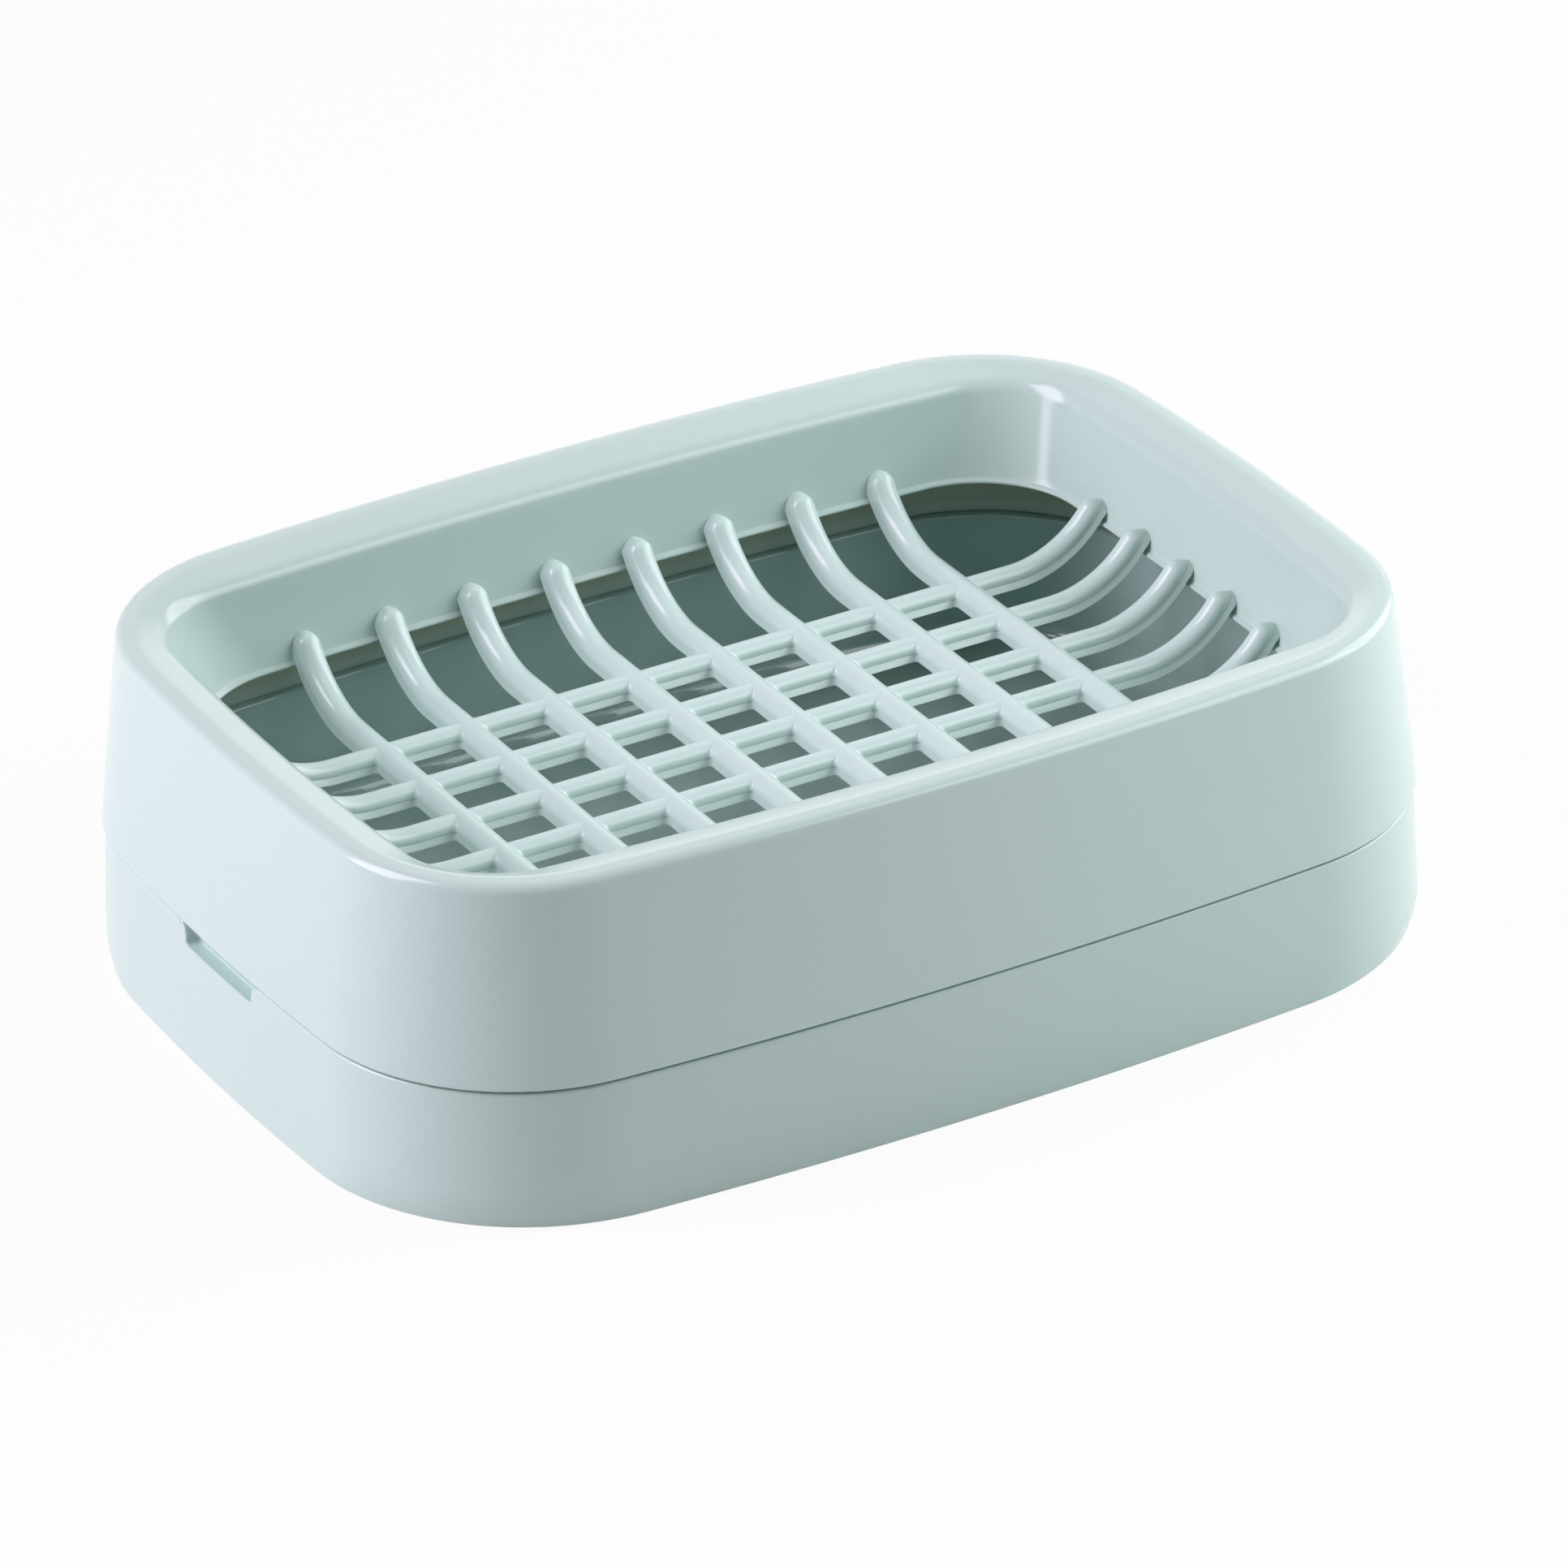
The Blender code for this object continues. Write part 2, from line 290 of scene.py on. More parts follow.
class SoapHolderFinish(PropertyGroup):
    """Colours and finish of the two mouldings"""

    tray_colour: colour("Tray", "Colour of the tray's plastic", (0.515, 0.66, 0.61))
    # The grille is the tray's own plastic, painted paler than the tray's colour to stand in for the light on
    # its bars
    grille_colour_painted_paler: colour("Grille", "Colour of the grille's plastic", (0.58, 0.735, 0.69))
    base_colour: colour("Base", "Colour of the drip base's plastic", (0.51, 0.655, 0.605))
    roughness: share("Roughness", "Roughness of the moulded faces", 0.18)
    inside_roughness: share("Inside roughness", "Roughness of the base's polished inside", 0.08)


class SoapHolderStudio(PropertyGroup):
    """Camera, lamps and floor"""

    azimuth: angle("Camera azimuth", "How far the camera stands round to the left of the front", 29.433)
    elevation: angle("Camera elevation", "How high the camera stands", 28.306)
    roll: angle("Camera roll", "How far the camera is turned about its own axis", -1.404)
    distance: length("Camera distance", "From the dish to the camera", 1036.686)
    slide_right: length("Camera slide", "How far the camera is moved to its right", 2.261)
    slide_up: length("Camera lift", "How far the camera is moved up", 14.722)
    base_height: length("Aim height", "Height that the camera is set from", 0.3)
    lens: FloatProperty(name="Lens", description="Focal length in millimetres", default=222.0, unit="CAMERA")
    ambient: share("Ambient", "Strength of the room's light on the object", 0.05)
    floor_colour: colour("Floor", "Colour of the floor", (0.79, 0.79, 0.79))
    floor_glow: share("Floor glow", "How much of the floor is plain white to the camera", 0.92)


Outline = namedtuple("Outline", "half_length half_depth corner end_bow side_bow")
Section = namedtuple("Section", "outline height radius")
Shade = namedtuple("Shade", "low high foot top")
Lamp = namedtuple("Lamp", "name azimuth elevation distance size power tint")

# Painted shade inside, as a product on the colour. The base's inside is painted darker and greener. The
# tray's inside below the lip is painted darker and more olive, warmest just under the lip
BASE_PAINTED_SHADE = (0.88, 0.93, 0.94)
TRAY_PAINTED_SHADE = Shade(19.2 * MM, 20.4 * MM, (0.94, 0.88, 0.83), (0.91, 0.77, 0.64))

# Height that the lamps face
LAMP_AIM = 20 * MM

# Soft lamps round the dish. Azimuth is counted from its right end, in degrees
LAMPS = (
    Lamp("key_softbox", 163, 30, 0.8, (0.45, 0.8), 7.8, (0.98, 0.87, 1.0)),
    Lamp("side_softbox", 358, 26, 0.6, (0.5, 0.45), 2.8, (0.96, 0.90, 1.0)),
    Lamp("front_softbox", 320, 34, 0.45, (0.3, 0.3), 1.0, (0.93, 0.97, 1.0)),
    Lamp("back_softbox", 55, 16, 0.6, (0.4, 0.2), 0.16, (1.0, 1.0, 1.0)),
    Lamp("top_softbox", 0, 90, 0.8, (0.5, 0.5), 0.35, (1.0, 1.0, 1.0)),
)


def moved(outline, offset):
    """An outline moved outward, or inward by a negative offset, with its radii"""
    return Outline(*(size + offset for size in outline))


def between(first, last, share):
    """An outline that has gone a share of the way from one outline to another"""
    return Outline(*(a + (b - a) * share for a, b in zip(first, last)))


class Wire:
    """A chain of edges, drawn from a point by straight runs and by turns round a centre"""

    def __init__(self, bm, start):
        self.bm = bm
        self.tip = bm.verts.new(start)
        self.edges = []

    def run(self, point):
        tip = self.bm.verts.new(point)
        self.edges.append(self.bm.edges.new((self.tip, tip)))
        self.tip = tip

    def turn(self, centre, sweep, steps, axis=UP):
        before = set(self.bm.edges)
        made = bmesh.ops.spin(
            self.bm, geom=[self.tip], cent=centre, axis=axis, angle=sweep, steps=steps, use_merge=False
        )
        self.edges += [edge for edge in self.bm.edges if edge not in before]
        self.tip = made["geom_last"][0]


def corner_of(outline):
    """Centre of the corner's arc, and the angles where the end and the side run into it"""
    side_centre = Vector((0.0, outline.half_depth - outline.side_bow))
    end_centre = Vector((outline.half_length - outline.end_bow, 0.0))
    from_side = outline.side_bow - outline.corner
    from_end = outline.end_bow - outline.corner
    span = end_centre - side_centre
    along = (from_side**2 - from_end**2 + span.length_squared) / (2 * span.length)
    across = math.sqrt(from_side**2 - along**2)
    towards = span.normalized()
    centre = side_centre + towards * along + Vector((towards.y, -towards.x)) * across
    to_end = centre - end_centre
    to_side = centre - side_centre
    return centre, math.atan2(to_end.y, to_end.x), math.atan2(to_side.y, to_side.x)


def quarter_ring(bm, outline, height):
    """Wire of the front right quarter of a bowed outline"""
    centre, end_angle, side_angle = corner_of(outline)
    wire = Wire(bm, (outline.half_length, 0.0, height))
    wire.turn((outline.half_length - outline.end_bow, 0.0, height), end_angle, END_STEPS)
    wire.turn((centre.x, centre.y, height), side_angle - end_angle, CORNER_STEPS)
    wire.turn((0.0, outline.half_depth - outline.side_bow, height), QUARTER_TURN - side_angle, SIDE_STEPS)
    return wire.edges


def turn_at(before, here, after):
    """Angle by which the section turns at its middle point"""
    first = Vector((here.outline.half_length - before.outline.half_length, here.height - before.height))
    last = Vector((after.outline.half_length - here.outline.half_length, after.height - here.height))
    return first.angle(last)


def round_edges(bm, edges, radius, turn, steps):
    """Round edges at which a section turns by an angle"""
    bmesh.ops.bevel(
        bm,
        geom=edges,
        offset=radius * math.tan(turn / 2),
        offset_type="OFFSET",
        segments=steps,
        profile=0.5,
        affect="EDGES",
        material=-1,
        clamp_overlap=False,
        loop_slide=True,
    )


def carry_section(bm, sections, closed):
    """Carry a section round a quarter of the plan, and round the corners that have a radius"""
    rings = [quarter_ring(bm, section.outline, section.height) for section in sections]
    pairs = list(zip(rings, rings[1:]))
    if closed:
        pairs.append((rings[-1], rings[0]))
    for lower, upper in pairs:
        bmesh.ops.bridge_loops(bm, edges=lower + upper)
    count = len(sections)
    for k, section in enumerate(sections):
        if section.radius:
            turn = turn_at(sections[k - 1], section, sections[(k + 1) % count])
            steps = ROUND_STEPS if section.radius > LARGE_ROUND else EDGE_STEPS
            round_edges(bm, rings[k], section.radius, turn, steps)


def mirror_quarter(bm):
    """Complete a quarter across both middle planes"""
    for axis in ("X", "Y"):
        everything = bm.verts[:] + bm.edges[:] + bm.faces[:]
        bmesh.ops.mirror(bm, geom=everything, axis=axis, merge_dist=WELD)


def make_piece(name, bm, material):
    """Close a bmesh into a smooth piece with outward faces"""
    bmesh.ops.remove_doubles(bm, verts=bm.verts[:], dist=WELD)
    bmesh.ops.recalc_face_normals(bm, faces=bm.faces[:])
    mesh = bpy.data.meshes.new(name)
    bm.to_mesh(mesh)
    bm.free()
    mesh.shade_smooth()
    mesh.set_sharp_from_angle(angle=SHARP_ANGLE)
    if material:
        mesh.materials.append(material)
    piece = bpy.data.objects.new(name, mesh)
    bpy.context.scene.collection.objects.link(piece)
    return piece


class Signal:
    """A socket among a material's nodes that adds, subtracts and multiplies as a number does"""

    def __init__(self, tree, socket=None):
        self.tree = tree
        self.socket = socket

    def node(self, kind, settings, values, output=0):
        """Add a node: its settings first, then the values or links of its sockets"""
        node = self.tree.nodes.new(kind)
        for name, value in settings.items():
            setattr(node, name, value)
        for name, value in values.items():
            if isinstance(value, Signal):
                self.tree.links.new(value.socket, node.inputs[name])
            else:
                node.inputs[name].default_value = value
        return Signal(self.tree, node.outputs[output])

    def maths(self, operation, first, last):
        return self.node("ShaderNodeMath", {"operation": operation}, {0: first, 1: last})

    def __add__(self, other):
        return self.maths("ADD", self, other)

    __radd__ = __add__

    def __sub__(self, other):
        return self.maths("SUBTRACT", self, other)

    def __rsub__(self, other):
        return self.maths("SUBTRACT", other, self)

    def __mul__(self, other):
        return self.maths("MULTIPLY", self, other)

    __rmul__ = __mul__


def moulded_plastic(name, plastic_colour, roughness, shade=None):
    """Satin injection-moulded plastic: slight clouding, sink waves and a fine orange peel, with painted
    shade over its colour when a shade is given
    """
    material = bpy.data.materials.new(name)
    material.use_nodes = True
    tree = material.node_tree
    shader = tree.nodes["Principled BSDF"]
    shader.inputs["IOR"].default_value = PLASTIC_IOR
    maths = Signal(tree)
    place = maths.node("ShaderNodeTexCoord", {}, {}, "Object")

    def noise(scale, detail):
        return maths.node(
            "ShaderNodeTexNoise",
            {"noise_dimensions": "3D"},
            {"Vector": place, "Scale": scale, "Detail": detail, "Roughness": 0.5},
            "Fac",
        )

    def mixed(blend, factor, first, second):
        return maths.node(
            "ShaderNodeMix",
            {"data_type": "RGBA", "blend_type": blend},
            {"Factor": factor, "A": first, "B": second},
            "Result",
        )

    cloud = noise(*CLOUD)
    grain = noise(*GRAIN)
    pale = (*(min(1.0, part * PALE) for part in plastic_colour), 1.0)
    deep = (*(part * DEEP for part in plastic_colour), 1.0)
    tint = mixed("MIX", cloud * CLOUD_SHARE + grain * (1 - CLOUD_SHARE), deep, pale)
    # A shade paints darker, tinted shade over the colour, going from its foot tint to its top tint between
    # two heights
    if shade:
        height = maths.node("ShaderNodeSeparateXYZ", {}, {"Vector": place}, "Z")
        rise = maths.node(
            "ShaderNodeMapRange",
            {"interpolation_type": "SMOOTHSTEP"},
            {"Value": height, "From Min": shade.low, "From Max": shade.high},
        )
        painted_shade = mixed("MIX", rise, (*shade.foot, 1.0), (*shade.top, 1.0))
        tint = mixed("MULTIPLY", 1.0, tint, painted_shade)
    tree.links.new(tint.socket, shader.inputs["Base Color"])
    rough = cloud * CLOUD_GLOSS + grain * GRAIN_GLOSS + (roughness - (CLOUD_GLOSS + GRAIN_GLOSS) / 2)
    tree.links.new(rough.socket, shader.inputs["Roughness"])
    relief = noise(*PEEL) * PEEL_HEIGHT + noise(*WAVE) * WAVE_HEIGHT
    bump = maths.node(
        "ShaderNodeBump",
        {},
        {"Strength": RELIEF_STRENGTH, "Distance": RELIEF_DEPTH, "Height": relief},
        "Normal",
    )
    tree.links.new(bump.socket, shader.inputs["Normal"])
    return material


def dish_outline(dish):
    """Plan of the dish at the foot of the tray's skirt"""
    return Outline(dish.length / 2, dish.depth / 2, dish.corner, dish.end_bow, dish.side_bow)


def lip_outline(dish):
    """Plan of the opening that the grille spans"""
    return Outline(
        dish.length / 2 - dish.lip_end_inset,
        dish.depth / 2 - dish.lip_side_inset,
        dish.lip_corner,
        dish.lip_end_bow,
        dish.lip_side_bow,
    )


def tray_sections(dish, base):
    """The tray's section: skirt, rim, inner wall and lip outside, then back along the inside"""
    plan = dish_outline(dish)
    lip = lip_outline(dish)
    lean_rate = dish.skirt_lean / (dish.top - dish.rim_outer - dish.foot)

    def skirt(height, inward=0.0):
        return moved(plan, -lean_rate * (height - dish.foot) - inward)

    wall_turn = math.atan2(dish.bend_height - dish.lip_height, dish.lip_side_inset - dish.bend_side_inset)
    skirt_end = dish.top - dish.rim_outer - BESIDE
    land_start = dish.skirt_lean + dish.rim_outer + BESIDE
    bend = moved(plan, -dish.bend_side_inset)._replace(
        half_length=plan.half_length - dish.bend_end_inset, corner=dish.bend_corner
    )
    sections = [
        Section(skirt(dish.foot), dish.foot, dish.edge_round),
        Section(skirt(dish.foot + 2 * dish.edge_round), dish.foot + 2 * dish.edge_round, 0.0),
        Section(skirt(skirt_end), skirt_end, 0.0),
        Section(skirt(dish.top), dish.top, dish.rim_outer),
        Section(moved(plan, -land_start), dish.top, 0.0),
        Section(moved(plan, -dish.crest_inset), dish.top, dish.crest_round),
        Section(bend, dish.bend_height, dish.rim_inner),
    ]
    lip_foot = dish.lip_height - dish.lip_drop
    land_top = lip_foot + dish.lip_land
    wall_foot = moved(lip, dish.lip_land)
    drop = dish.bend_height - land_top
    for share in INNER_WALL_ROWS:
        sections.append(Section(between(bend, wall_foot, share), dish.bend_height - drop * share, 0.0))
    sections.append(Section(wall_foot, land_top, dish.lip_round))
    sections.append(Section(lip, lip_foot + dish.lip_land / 2, dish.lip_round))
    sections.append(Section(lip, lip_foot, 0.0))
    sections.append(Section(moved(lip, dish.rim_wall), lip_foot, dish.lip_round))

    under = dish.bend_height - dish.rim_wall
    back = dish.rim_wall * SLANT - dish.rim_wall / math.tan(wall_turn)
    sections.append(Section(moved(bend, back), under, BACK_ROUND))
    sections.append(Section(skirt(under, dish.skirt_wall), under, BACK_EDGE))
    lap = base.top_inset + base.wall - base.spigot_wall - dish.lap_clearance
    lap_top = base.shoulder + base.spigot_height + dish.lap_headroom
    sections.append(Section(skirt(lap_top, dish.skirt_wall), lap_top, 0.0))
    sections.append(Section(moved(plan, -lap), lap_top, 0.0))
    sections.append(Section(moved(plan, -lap), dish.foot, 0.0))
    return sections


def base_sections(dish, base):
    """The base's section from under the floor, round the foot ring and wall, to the top of the floor"""
    plan = dish_outline(dish)
    floor_top = base.ring_height + base.floor
    outer_foot = base.flare - base.top_inset
    inner_top = -base.top_inset - base.wall
    spigot = inner_top + base.spigot_wall
    spigot_top = base.shoulder + base.spigot_height
    edge = base.edge_round
    floor_edge = inner_top - base.draft
    near_top = base.shoulder - WALL_GUARD * edge

    def wall(height):
        return moved(plan, outer_foot - base.flare * height / base.shoulder)

    foot = wall(0.0)._replace(corner=wall(0.0).corner + base.foot_corner)
    middle = between(foot, wall(base.foot_blend), BLEND_GONE)._replace(end_bow=wall(0.0).end_bow)
    over = BLEND_OVER * base.foot_blend

    return [
        Section(moved(foot, -base.ring_width - RING_GUARD * edge), base.ring_height, 0.0),
        Section(moved(foot, -base.ring_width - edge), base.ring_height, 0.0),
        Section(moved(foot, -base.ring_width), 0.0, edge),
        Section(foot, 0.0, base.foot_round),
        Section(middle, base.foot_blend * BLEND_MIDDLE, 0.0),
        Section(wall(base.foot_blend), base.foot_blend, 0.0),
        Section(wall(over), over, 0.0),
        Section(wall(near_top), near_top, 0.0),
        Section(wall(base.shoulder), base.shoulder, edge),
        Section(moved(plan, spigot), base.shoulder, 0.0),
        Section(moved(plan, spigot), spigot_top, edge),
        Section(moved(plan, inner_top), spigot_top, base.spigot_edge),
        Section(moved(plan, inner_top), spigot_top - WALL_GUARD * base.spigot_edge, 0.0),
        Section(moved(plan, floor_edge), floor_top, base.fillet),
        Section(moved(plan, floor_edge - FLOOR_GUARD * base.fillet), floor_top, 0.0),
    ]


def notch_cutter(dish, base):
    """Solid that cuts the finger notch into the wall at the dish's left end, with a leaning back"""
    top = base.shoulder + 2 * base.spigot_height
    sill = base.shoulder - base.notch_height
    half = base.notch_width / 2
    inner_face = dish.length / 2 - base.notch_depth
    across = (1.0, 0.0, 0.0)
    bm = bmesh.new()
    wire = Wire(bm, (-inner_face, 0.0, sill))
    wire.run((-inner_face, half - base.notch_corner, sill))
    corner = (-inner_face, half - base.notch_corner, sill + base.notch_corner)
    wire.turn(corner, QUARTER_TURN, EDGE_STEPS, across)
    wire.run((-inner_face, half, base.shoulder - base.notch_shoulder))
    shoulder = (-inner_face, half + base.notch_shoulder, base.shoulder - base.notch_shoulder)
    wire.turn(shoulder, -QUARTER_TURN, NOTCH_SHOULDER_STEPS, across)
    wire.run((-inner_face, half + base.notch_shoulder, top))
    wire.run((-inner_face, 0.0, top))
    bmesh.ops.mirror(bm, geom=bm.verts[:] + bm.edges[:], axis="Y", merge_dist=WELD)
    for vert in bm.verts:
        vert.co.x += (base.shoulder - vert.co.z) * math.tan(base.notch_lean)
    face = bmesh.ops.contextual_create(bm, geom=bm.edges[:])["faces"]
    made = bmesh.ops.extrude_face_region(bm, geom=face, use_keep_orig=True)["geom"]
    swept = [part for part in made if isinstance(part, bmesh.types.BMVert)]
    bmesh.ops.translate(bm, verts=swept, vec=(-CUTTER_REACH * base.wall, 0.0, 0.0))
    cutter = make_piece("notch_cutter", bm, None)
    cutter.hide_render = True
    cutter.hide_viewport = True
    return cutter


def keep_modifiers(piece):
    """Turn a piece's modifiers into its mesh"""
    graph = bpy.context.evaluated_depsgraph_get()
    finished = bpy.data.meshes.new_from_object(piece.evaluated_get(graph))
    piece.modifiers.clear()
    piece.data = finished


def paint_shade_inside(piece, material, top):
    """Give a piece's inward and upward faces below a height a second material, which paints shade on them"""
    piece.data.materials.append(material)
    for face in piece.data.polygons:
        inward = face.normal.x * face.center.x + face.normal.y * face.center.y < 0
        if face.center.z < top and (inward or face.normal.z > FLAT):
            face.material_index = 1


class SOAP_HOLDER_OT_drip_base(Operator):
    """Make the drip base with its finger notch"""

    bl_idname = "soap_holder.drip_base"
    bl_label = "Drip base"

    def execute(self, context):
        dish = context.scene.soap_holder_dish
        base = context.scene.soap_holder_base
        finish = context.scene.soap_holder_finish
        bm = bmesh.new()
        carry_section(bm, base_sections(dish, base), closed=False)
        mirror_quarter(bm)
        bmesh.ops.holes_fill(bm, edges=[edge for edge in bm.edges if edge.is_boundary], sides=0)
        material = moulded_plastic("base_plastic", finish.base_colour, finish.roughness)
        piece = make_piece("drip_base_moulding", bm, material)
        cutter = notch_cutter(dish, base)
        cut = piece.modifiers.new("Finger notch", "BOOLEAN")
        cut.operation = "DIFFERENCE"
        cut.solver = "EXACT"
        cut.object = cutter
        soften = piece.modifiers.new("Notch edges", "BEVEL")
        soften.width = base.notch_edge
        soften.segments = NOTCH_EDGE_STEPS
        soften.limit_method = "ANGLE"
        soften.angle_limit = SHARP_ANGLE
        soften.use_clamp_overlap = False
        keep_modifiers(piece)
        bpy.data.objects.remove(cutter)
        piece.data.set_sharp_from_angle(angle=SHARP_ANGLE)
        even = piece.modifiers.new("Even shading", "WEIGHTED_NORMAL")
        even.keep_sharp = True
        keep_modifiers(piece)
        # The base's inside is painted darker and greener as shade, and is given a polished, lower roughness
        shade = Shade(0.0, base.shoulder, BASE_PAINTED_SHADE, BASE_PAINTED_SHADE)
        inside = moulded_plastic("base_plastic_inside_painted_shade", finish.base_colour, finish.inside_roughness, shade)
        paint_shade_inside(piece, inside, base.shoulder + base.spigot_height)
        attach(piece, BASE_BODY)
        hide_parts(BASE_NODE)
        return {"FINISHED"}


class SOAP_HOLDER_OT_tray_shell(Operator):
    """Make the tray's skirt, rim, inner wall and lip"""

    bl_idname = "soap_holder.tray_shell"
    bl_label = "Tray shell"

    def execute(self, context):
        dish = context.scene.soap_holder_dish
        base = context.scene.soap_holder_base
        finish = context.scene.soap_holder_finish
        bm = bmesh.new()
        carry_section(bm, tray_sections(dish, base), closed=True)
        mirror_quarter(bm)
        material = moulded_plastic("tray_plastic_shell", finish.tray_colour, finish.roughness)
        piece = make_piece("soap_tray_shell", bm, material)
        # The tray's inside below the lip gets painted shade, darker and more olive towards the lip
        inside = moulded_plastic("tray_plastic_inside_painted_shade", finish.tray_colour, finish.roughness, TRAY_PAINTED_SHADE)
        paint_shade_inside(piece, inside, dish.lip_height - dish.lip_drop)
        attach(piece, TRAY_BODY)
        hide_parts(TRAY_NODE)
        return {"FINISHED"}


def crossing_level(bm, half_bay, cross, long, height, fillet):
    """One level of a crossing's quarter: along the long bar, round the corner, along the cross bar"""
    wire = Wire(bm, (half_bay.x, long, height))
    wire.run((cross + fillet + BESIDE, long, height))
    wire.run((cross + fillet, long, height))
    centre = (cross + fillet, long + fillet, height)
    wire.turn(centre, -QUARTER_TURN, FILLET_STEPS)
    wire.run((cross, long + fillet + BESIDE, height))
    wire.run((cross, half_bay.y, height))
    return wire.edges


def crossing_quarter(bm, grille, half_bay):
    """Quarter of a crossing, from the middles of its two bars out to the middles of the bays"""
    cross, long = grille.cross_bead, grille.long_bead
    foot = -grille.keel_depth
    edge, fillet = grille.keel_edge, grille.fillet

    wide_cross = cross + grille.cross_flare
    wide_long = long + grille.long_flare
    ledge = foot + grille.keel_ledge
    crease = grille.crease
    levels = [
        (0.0, 0.0, foot, SMALLEST_FILLET),
        (wide_cross - edge, wide_long - 2 * edge, foot, fillet),
        (wide_cross, wide_long - edge, foot + edge, fillet),
        (wide_cross, wide_long, ledge - edge / 2, fillet),
        (wide_cross, wide_long - edge / 2, ledge + edge / 2, fillet),
        (cross, long - crease / 2, -CREASE_FOOT * crease, fillet),
        (cross, long - crease, -crease, fillet),
    ]
    for k in range(BEAD_STEPS + 1):
        rise = QUARTER_TURN * k / BEAD_STEPS
        height = long * math.sin(rise)
        share = max(math.cos(rise) ** 2, SMALLEST_SHARE)
        half_cross = math.sqrt(cross**2 - height**2)
        half_long = max(long * math.cos(rise), 0.0)
        levels.append((half_cross, half_long, height, fillet * share))
    rings = [crossing_level(bm, half_bay, *level) for level in levels]
    for lower, upper in zip(rings, rings[1:]):
        bmesh.ops.bridge_loops(bm, edges=lower + upper)

    # The cross bar's bead stands above the long bar's: the last rows run up to its crest
    row = [edge for edge in rings[-1] if all(abs(v.co.x - levels[-1][0]) < WELD for v in edge.verts)]
    start = math.acos(levels[-1][0] / cross)
    for k in range(1, CAP_STEPS + 1):
        rise = start + (QUARTER_TURN - start) * k / CAP_STEPS
        made = bmesh.ops.extrude_edge_only(bm, edges=row)["geom"]
        row = [part for part in made if isinstance(part, bmesh.types.BMEdge)]
        raised = [part for part in made if isinstance(part, bmesh.types.BMVert)]
        at = raised[0].co
        step = Vector((cross * math.cos(rise) - at.x, 0.0, cross * math.sin(rise) - at.z))
        bmesh.ops.translate(bm, verts=raised, vec=step)


def open_ends(bm, axis, limit):
    """Boundary edges beyond a limit along an axis"""
    side = math.copysign(1, limit)
    return [
        edge
        for edge in bm.edges
        if edge.is_boundary and all(side * vert.co[axis] > abs(limit) for vert in edge.verts)
    ]


def verts_of(edges):
    return list({vert for edge in edges for vert in edge.verts})


def extend(bm, edges):
    """Extrude edges in place and give back the new ones"""
    made = bmesh.ops.extrude_edge_only(bm, edges=edges)["geom"]
    return [part for part in made if isinstance(part, bmesh.types.BMEdge)]


def grow_arms(bm, grille, axis, side, limit, reach, arm_rise, places, bead):
    """Carry the bars' open ends on: a straight run, the bend up and the ball noses

    The bars run along the axis, and places are their middles along the other one.
    """
    bend = math.acos(1 - arm_rise / grille.bend_radius)
    flat_end = reach - grille.bend_radius * math.sin(bend)
    row = open_ends(bm, axis, side * limit)
    run = Vector((0.0, 0.0, 0.0))
    row = extend(bm, row)
    ends = verts_of(row)
    run[axis] = side * flat_end - ends[0].co[axis]
    bmesh.ops.translate(bm, verts=ends, vec=run)

    centre = Vector((0.0, 0.0, grille.bend_radius))
    centre[axis] = side * flat_end
    turn_axis = (0.0, -side, 0.0) if axis == 0 else (side, 0.0, 0.0)
    made = bmesh.ops.spin(
        bm, geom=ends + row, cent=centre, axis=turn_axis, angle=bend, steps=BEND_STEPS, use_merge=False
    )
    row = [part for part in made["geom_last"] if isinstance(part, bmesh.types.BMEdge)]

    # The section shrinks towards each tip as it moves on, which leaves a ball nose
    onward = Vector((0.0, 0.0, math.sin(bend)))
    onward[axis] = side * math.cos(bend)
    other = 1 - axis
    size, advance = 1.0, 0.0
    nose = []
    for k in range(1, NOSE_STEPS + 1):
        swing = QUARTER_TURN * k / (NOSE_STEPS + NOSE_FLAT)
        step = bead * math.sin(swing) - advance
        row = extend(bm, row)
        for vert in verts_of(row):
            middle = Vector((0.0, 0.0, arm_rise))
            middle[axis] = side * reach
            middle[other] = min(places, key=lambda place: abs(place - vert.co[other]))
            middle += onward * advance
            vert.co = middle + (vert.co - middle) * (math.cos(swing) / size) + onward * step
            nose.append((vert, math.sin(swing)))
        size, advance = math.cos(swing), bead * math.sin(swing)

    # The outer half of each nose reaches out to the inner wall, so that no gap is left behind it
    for vert, share in nose:
        outward = side * vert.co[axis] - reach
        if outward > 0:
            vert.co[axis] += side * outward * share * grille.nose_reach


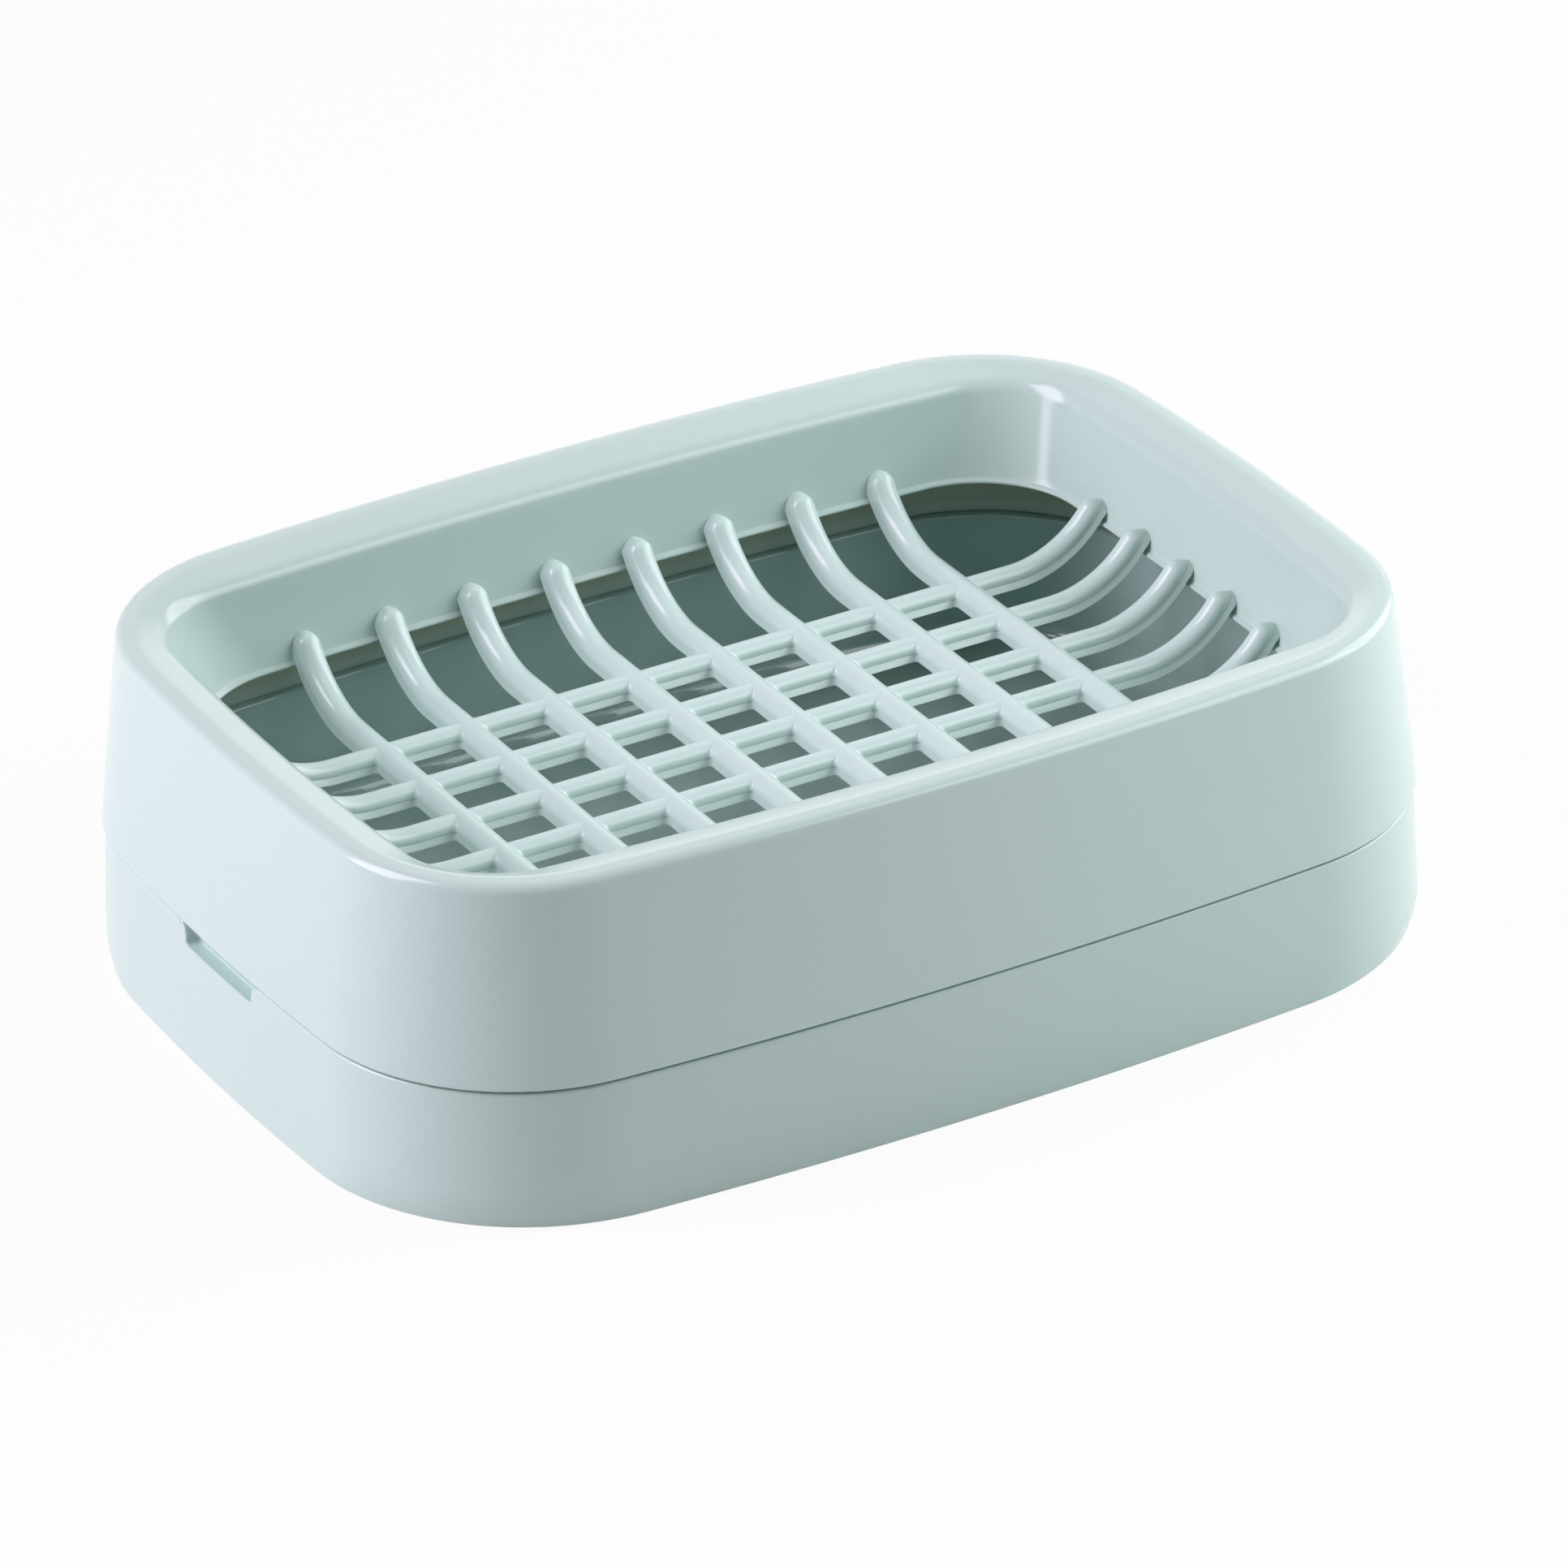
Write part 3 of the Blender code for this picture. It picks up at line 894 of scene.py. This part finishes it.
class SOAP_HOLDER_OT_drain_grille(Operator):
    """Make the drain grille: crossing bars with arms that curve up to the tray's lip"""

    bl_idname = "soap_holder.drain_grille"
    bl_label = "Drain grille"

    def execute(self, context):
        dish = context.scene.soap_holder_dish
        grille = context.scene.soap_holder_grille
        finish = context.scene.soap_holder_finish
        lip = lip_outline(dish)
        spread = Vector((lip.half_length - grille.outer_bay, lip.half_depth - grille.outer_bay))
        half_bay = Vector((spread.x / (grille.cross_count - 1), spread.y / (grille.long_count - 1)))

        bm = bmesh.new()
        crossing_quarter(bm, grille, half_bay)
        mirror_quarter(bm)
        bmesh.ops.remove_doubles(bm, verts=bm.verts[:], dist=CROSSING_WELD)
        unit = bm.verts[:] + bm.edges[:] + bm.faces[:]
        columns = [spread.x * (2 * k / (grille.cross_count - 1) - 1) for k in range(grille.cross_count)]
        rows = [spread.y * (2 * k / (grille.long_count - 1) - 1) for k in range(grille.long_count)]
        for x in columns:
            for y in rows:
                made = bmesh.ops.duplicate(bm, geom=unit)["geom"]
                copied = [part for part in made if isinstance(part, bmesh.types.BMVert)]
                bmesh.ops.translate(bm, verts=copied, vec=(x, y, 0.0))
        first = [part for part in unit if isinstance(part, bmesh.types.BMVert)]
        bmesh.ops.delete(bm, geom=first, context="VERTS")
        bmesh.ops.remove_doubles(bm, verts=bm.verts[:], dist=BAY_WELD)

        long_limit = spread.x + half_bay.x * ARM_START
        cross_limit = spread.y + half_bay.y * ARM_START
        to_ends = lip.half_length - grille.end_inset
        to_sides = lip.half_depth - grille.side_inset
        long_bead, cross_bead = grille.long_bead, grille.cross_bead
        for side in (-1, 1):
            grow_arms(bm, grille, 0, side, long_limit, to_ends, grille.end_rise, rows, long_bead)
            grow_arms(bm, grille, 1, side, cross_limit, to_sides, grille.side_rise, columns, cross_bead)
        bmesh.ops.holes_fill(bm, edges=[edge for edge in bm.edges if edge.is_boundary], sides=0)
        bmesh.ops.translate(bm, verts=bm.verts[:], vec=(0.0, 0.0, grille.mould_line))
        # Painted light: the grille's colour is the tray's plastic painted paler
        material = moulded_plastic("tray_plastic_grille_painted_paler", finish.grille_colour_painted_paler, finish.roughness)
        piece = make_piece("drain_grille", bm, material)
        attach(piece, TRAY_BODY)
        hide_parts(TRAY_NODE)
        return {"FINISHED"}


def make_lamp(lamp):
    """Soft lamp that faces the middle of the dish"""
    data = bpy.data.lights.new(lamp.name, "AREA")
    data.shape = "RECTANGLE"
    data.size, data.size_y = lamp.size
    data.energy = lamp.power
    data.color = lamp.tint
    turn, tilt = math.radians(lamp.azimuth), math.radians(lamp.elevation)
    away = Vector((math.cos(turn) * math.cos(tilt), math.sin(turn) * math.cos(tilt), math.sin(tilt)))
    softbox = bpy.data.objects.new(lamp.name, data)
    softbox.location = away * lamp.distance + Vector((0.0, 0.0, LAMP_AIM))
    softbox.rotation_euler = away.to_track_quat("Z", "Y").to_euler()
    bpy.context.scene.collection.objects.link(softbox)


def seen_plain(maths):
    """1 for the rays that show the background: straight, mirrored or through something clear"""
    path = maths.node("ShaderNodeLightPath", {}, {}, "Is Camera Ray")
    rays = path.socket.node
    glossy = Signal(maths.tree, rays.outputs["Is Glossy Ray"])
    clear = Signal(maths.tree, rays.outputs["Is Transmission Ray"])
    either = maths.maths("MAXIMUM", glossy, clear)
    return maths.maths("MAXIMUM", path, either)


def make_floor(studio):
    """Pale floor that is nearly white to the camera and keeps the object's shadow"""
    bm = bmesh.new()
    bmesh.ops.create_circle(bm, cap_ends=True, radius=FLOOR_RADIUS, segments=FLOOR_SIDES)
    mesh = bpy.data.meshes.new("floor")
    bm.to_mesh(mesh)
    bm.free()
    floor = bpy.data.objects.new("floor", mesh)
    bpy.context.scene.collection.objects.link(floor)
    material = bpy.data.materials.new("floor")
    material.use_nodes = True
    tree = material.node_tree
    tree.nodes.clear()
    maths = Signal(tree)
    matt = maths.node("ShaderNodeBsdfDiffuse", {}, {"Color": (*studio.floor_colour, 1.0)})
    white = maths.node("ShaderNodeEmission", {}, {"Color": (1.0, 1.0, 1.0, 1.0), "Strength": 1.0})
    share = seen_plain(maths) * studio.floor_glow
    mixed = maths.node("ShaderNodeMixShader", {}, {0: share, 1: matt, 2: white})
    output = tree.nodes.new("ShaderNodeOutputMaterial")
    tree.links.new(mixed.socket, output.inputs["Surface"])
    mesh.materials.append(material)


def make_world(studio):
    """White room: plain white where it is seen or mirrored, softer as light on the object"""
    world = bpy.data.worlds.new("room")
    world.use_nodes = True
    tree = world.node_tree
    maths = Signal(tree)
    seen = seen_plain(maths)
    strength = seen + (1 - seen) * studio.ambient
    background = tree.nodes["Background"]
    background.inputs["Color"].default_value = (1.0, 1.0, 1.0, 1.0)
    tree.links.new(strength.socket, background.inputs["Strength"])
    bpy.context.scene.world = world


def make_camera(studio):
    """Camera at the photograph's angle, with a long lens"""
    turn, tilt, roll = studio.azimuth, studio.elevation, studio.roll
    forward = Vector((math.sin(turn) * math.cos(tilt), math.cos(turn) * math.cos(tilt), -math.sin(tilt)))
    level_right = Vector((math.cos(turn), -math.sin(turn), 0.0))
    level_up = level_right.cross(forward)
    right = level_right * math.cos(roll) + level_up * math.sin(roll)
    up = level_up * math.cos(roll) - level_right * math.sin(roll)
    data = bpy.data.cameras.new("camera")
    data.lens = studio.lens
    data.sensor_fit = "HORIZONTAL"
    data.sensor_width = 36.0
    camera = bpy.data.objects.new("camera", data)
    camera.location = right * studio.slide_right + up * studio.slide_up - forward * studio.distance
    camera.location.z += studio.base_height
    camera.rotation_euler = Matrix((right, up, -forward)).transposed().to_euler()
    bpy.context.scene.collection.objects.link(camera)
    bpy.context.scene.camera = camera


class SOAP_HOLDER_OT_stage(Operator):
    """Make the floor, the room's light, the lamps and the camera"""

    bl_idname = "soap_holder.stage"
    bl_label = "Stage"

    def execute(self, context):
        studio = context.scene.soap_holder_studio
        context.scene.view_settings.view_transform = "Standard"
        make_floor(studio)
        make_world(studio)
        for lamp in LAMPS:
            make_lamp(lamp)
        make_camera(studio)
        return {"FINISHED"}


class SOAP_HOLDER_PT_sidebar(Panel):
    """Sizes, colours and the operators that make the soap holder"""

    bl_idname = "SOAP_HOLDER_PT_sidebar"
    bl_label = "Draining soap holder"
    bl_space_type = "VIEW_3D"
    bl_region_type = "UI"
    bl_category = "Soap holder"

    def draw(self, context):
        for operator in OPERATORS:
            self.layout.operator(operator.bl_idname)
        for name in GROUPS:
            box = self.layout.box()
            group = getattr(context.scene, name)
            box.label(text=group.bl_rna.name)
            for field in type(group).__annotations__:
                box.prop(group, field)


OPERATORS = (
    SOAP_HOLDER_OT_drip_base,
    SOAP_HOLDER_OT_tray_shell,
    SOAP_HOLDER_OT_drain_grille,
    SOAP_HOLDER_OT_stage,
)
GROUPS = {
    "soap_holder_dish": SoapHolderDish,
    "soap_holder_base": SoapHolderBase,
    "soap_holder_grille": SoapHolderGrille,
    "soap_holder_finish": SoapHolderFinish,
    "soap_holder_studio": SoapHolderStudio,
}


def register():
    for name, group in GROUPS.items():
        bpy.utils.register_class(group)
        setattr(bpy.types.Scene, name, PointerProperty(type=group))
    for made in (*OPERATORS, SOAP_HOLDER_PT_sidebar):
        bpy.utils.register_class(made)


def unregister():
    for made in (SOAP_HOLDER_PT_sidebar, *reversed(OPERATORS)):
        bpy.utils.unregister_class(made)
    for name, group in GROUPS.items():
        delattr(bpy.types.Scene, name)
        bpy.utils.unregister_class(group)


def main():
    register()
    bpy.ops.soap_holder.drip_base()
    bpy.ops.soap_holder.tray_shell()
    bpy.ops.soap_holder.drain_grille()
    bpy.ops.soap_holder.stage()


if __name__ == "__main__":
    main()
